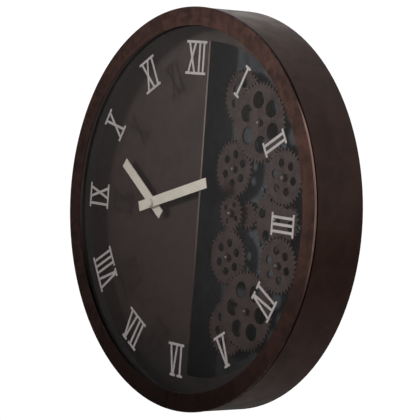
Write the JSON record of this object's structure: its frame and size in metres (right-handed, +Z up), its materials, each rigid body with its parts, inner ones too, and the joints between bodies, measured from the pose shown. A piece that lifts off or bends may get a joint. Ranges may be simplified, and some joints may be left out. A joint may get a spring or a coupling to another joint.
{
  "type": "wall clock",
  "caption": "Round deep-cased wall clock: off-centre hands on a solid half of the dial, Roman hours on the glass, and a train of turning gears seen through a D-shaped opening.",
  "frame": {"origin": "middle of the case: on the case's axis, halfway between the front of the bezel and the wall", "axes": "+X to the right seen from the front, +Y into the wall, +Z up"},
  "size_m": [0.465, 0.07, 0.465],
  "materials": {
    "case_paint": "distressed dark brown, satin",
    "bezel_paint": "mottled red-brown, satin",
    "glass": "clear",
    "ring_paint": "dark grey, matte",
    "rear_ring_paint": "dark grey, matte",
    "rubber": "matte",
    "numeral_paint": "light grey, satin",
    "dial_paint": "fibreboard, distressed brown paint, satin",
    "board_paint": "fibreboard, slate grey paint, matte",
    "zinc_plate": "zinc plated",
    "screw_steel": "plated",
    "movement_plastic": "fine texture",
    "knob_plastic": "semi-gloss",
    "brass": "turned",
    "gear_plastic": "natural acetal",
    "coil_copper": "enamelled wire",
    "cell_wrap": "printed sleeve",
    "stud_steel": "bright turned",
    "collar_paint": "dark brown",
    "drive_plastic": "fine texture",
    "motor_can": "drawn",
    "hand_paint": "cream, semi-gloss",
    "gear_paint": "moulded, brown bronze paint, satin"
  },
  "bodies": {
    "case": {"case_shell": "case_paint", "bezel_ring": "bezel_paint", "glass_lens": "glass", "lens_gasket": "rubber", "front_spacer_ring": "ring_paint", "rear_spacer_ring": "rear_ring_paint", "hour_numerals": "numeral_paint", "dial_panel": "dial_paint", "gear_board": "board_paint", "board_brackets": "zinc_plate", "board_screws": "screw_steel", "wall_bumpers": "rubber", "hanger_plate": "zinc_plate", "hanger_rivets": "zinc_plate", "movement_case": "movement_plastic", "movement_cover": "movement_plastic", "movement_nut": "brass", "movement_washer": "rubber", "movement_coil": "coil_copper", "movement_cell": "cell_wrap", "long_gear_studs": "stud_steel", "medium_gear_studs": "stud_steel", "short_gear_stud": "stud_steel", "stud_nuts": "screw_steel", "stud_collars": "collar_paint", "drive_housing": "drive_plastic", "drive_cover": "drive_plastic", "drive_gearmotor": "motor_can", "drive_cell": "cell_wrap", "drive_mounting_screws": "screw_steel", "drive_cover_screws": "screw_steel"},
    "minute": {"minute_hand": "hand_paint", "hand_cap": "hand_paint", "minute_arbor": "brass"},
    "hour": {"hour_hand": "hand_paint", "hour_wheel": "gear_plastic"},
    "motion": {"motion_wheel": "gear_plastic", "motion_pinion": "gear_plastic", "set_knob": "knob_plastic"},
    "middle_large": {"middle_large_gear": "gear_paint"},
    "drive_shaft": {"drive_pinion": "gear_paint", "transfer_gear_right": "gear_plastic"},
    "left_middle": {"left_middle_gear": "gear_paint", "left_middle_shaft": "stud_steel", "left_middle_collar": "collar_paint", "transfer_gear_left": "gear_plastic"},
    "upper_left": {"upper_left_gear": "gear_paint"},
    "lower_left": {"lower_left_gear": "gear_paint"},
    "switch": {"drive_switch": "knob_plastic"},
    "upper_large": {"upper_large_gear": "gear_paint", "upper_link_pinion": "gear_paint"},
    "upper_right": {"upper_right_gear": "gear_paint", "upper_right_pinion": "gear_paint"},
    "upper_end": {"upper_end_gear": "gear_paint"},
    "lower_large": {"lower_large_gear": "gear_paint", "lower_link_pinion": "gear_paint"},
    "lower_right": {"lower_right_gear": "gear_paint", "lower_right_pinion": "gear_paint"},
    "lower_end": {"lower_end_gear": "gear_paint"}
  },
  "joints": [
    {"name": "minute_hand_turn", "type": "hinge", "parent": "case", "child": "minute", "pos_m": [-0.086, 0.005, 0], "axis": [0, 1, 0], "continuous": true},
    {"name": "hour_hand_turn", "type": "hinge", "parent": "case", "child": "hour", "pos_m": [-0.086, 0.005, 0], "axis": [0, 1, 0], "continuous": true},
    {"name": "motion_wheel_turn", "type": "hinge", "parent": "case", "child": "motion", "pos_m": [-0.086, 0.005, 0.0096], "axis": [0, 1, 0], "continuous": true},
    {"name": "upper_large_turn", "type": "hinge", "parent": "case", "child": "upper_large", "pos_m": [0.08658, 0.005, 0.10681], "axis": [0, 1, 0], "continuous": true},
    {"name": "upper_right_turn", "type": "hinge", "parent": "case", "child": "upper_right", "pos_m": [0.13574, 0.005, 0.04905], "axis": [0, 1, 0], "continuous": true},
    {"name": "upper_end_turn", "type": "hinge", "parent": "case", "child": "upper_end", "pos_m": [0.04574, 0.005, 0.13223], "axis": [0, 1, 0], "continuous": true},
    {"name": "middle_large_turn", "type": "hinge", "parent": "case", "child": "middle_large", "pos_m": [0.114, 0.005, 0], "axis": [0, 1, 0], "continuous": true},
    {"name": "lower_right_turn", "type": "hinge", "parent": "case", "child": "lower_right", "pos_m": [0.13574, 0.005, -0.04905], "axis": [0, 1, 0], "continuous": true},
    {"name": "lower_large_turn", "type": "hinge", "parent": "case", "child": "lower_large", "pos_m": [0.08658, 0.005, -0.10681], "axis": [0, 1, 0], "continuous": true},
    {"name": "lower_end_turn", "type": "hinge", "parent": "case", "child": "lower_end", "pos_m": [0.04574, 0.005, -0.13223], "axis": [0, 1, 0], "continuous": true},
    {"name": "drive_shaft_turn", "type": "hinge", "parent": "case", "child": "drive_shaft", "pos_m": [0.0622, 0.005, 0], "axis": [0, 1, 0], "continuous": true},
    {"name": "left_middle_turn", "type": "hinge", "parent": "case", "child": "left_middle", "pos_m": [0.0384, 0.005, 0], "axis": [0, 1, 0], "continuous": true},
    {"name": "upper_left_turn", "type": "hinge", "parent": "case", "child": "upper_left", "pos_m": [0.0384, 0.005, 0.05087], "axis": [0, 1, 0], "continuous": true},
    {"name": "lower_left_turn", "type": "hinge", "parent": "case", "child": "lower_left", "pos_m": [0.0384, 0.005, -0.05087], "axis": [0, 1, 0], "continuous": true},
    {"name": "switch_slide", "type": "slide", "parent": "case", "child": "switch", "axis": [0, 0, 1], "range_m": [0, 0.004]}
  ],
  "couplings": [
    {"joint": "hour_hand_turn", "follows": "minute_hand_turn", "ratio": 0.083333},
    {"joint": "motion_wheel_turn", "follows": "minute_hand_turn", "ratio": -0.33333},
    {"joint": "upper_right_turn", "follows": "upper_large_turn", "ratio": -1.4118},
    {"joint": "upper_end_turn", "follows": "upper_large_turn", "ratio": -0.52941},
    {"joint": "middle_large_turn", "follows": "upper_large_turn", "ratio": 0.63529},
    {"joint": "lower_right_turn", "follows": "upper_large_turn", "ratio": -1.4118},
    {"joint": "lower_large_turn", "follows": "upper_large_turn", "ratio": 1},
    {"joint": "lower_end_turn", "follows": "upper_large_turn", "ratio": -0.52941},
    {"joint": "drive_shaft_turn", "follows": "upper_large_turn", "ratio": -1.5882},
    {"joint": "left_middle_turn", "follows": "upper_large_turn", "ratio": 1.5882},
    {"joint": "upper_left_turn", "follows": "upper_large_turn", "ratio": -0.98097},
    {"joint": "lower_left_turn", "follows": "upper_large_turn", "ratio": -0.98097}
  ]
}
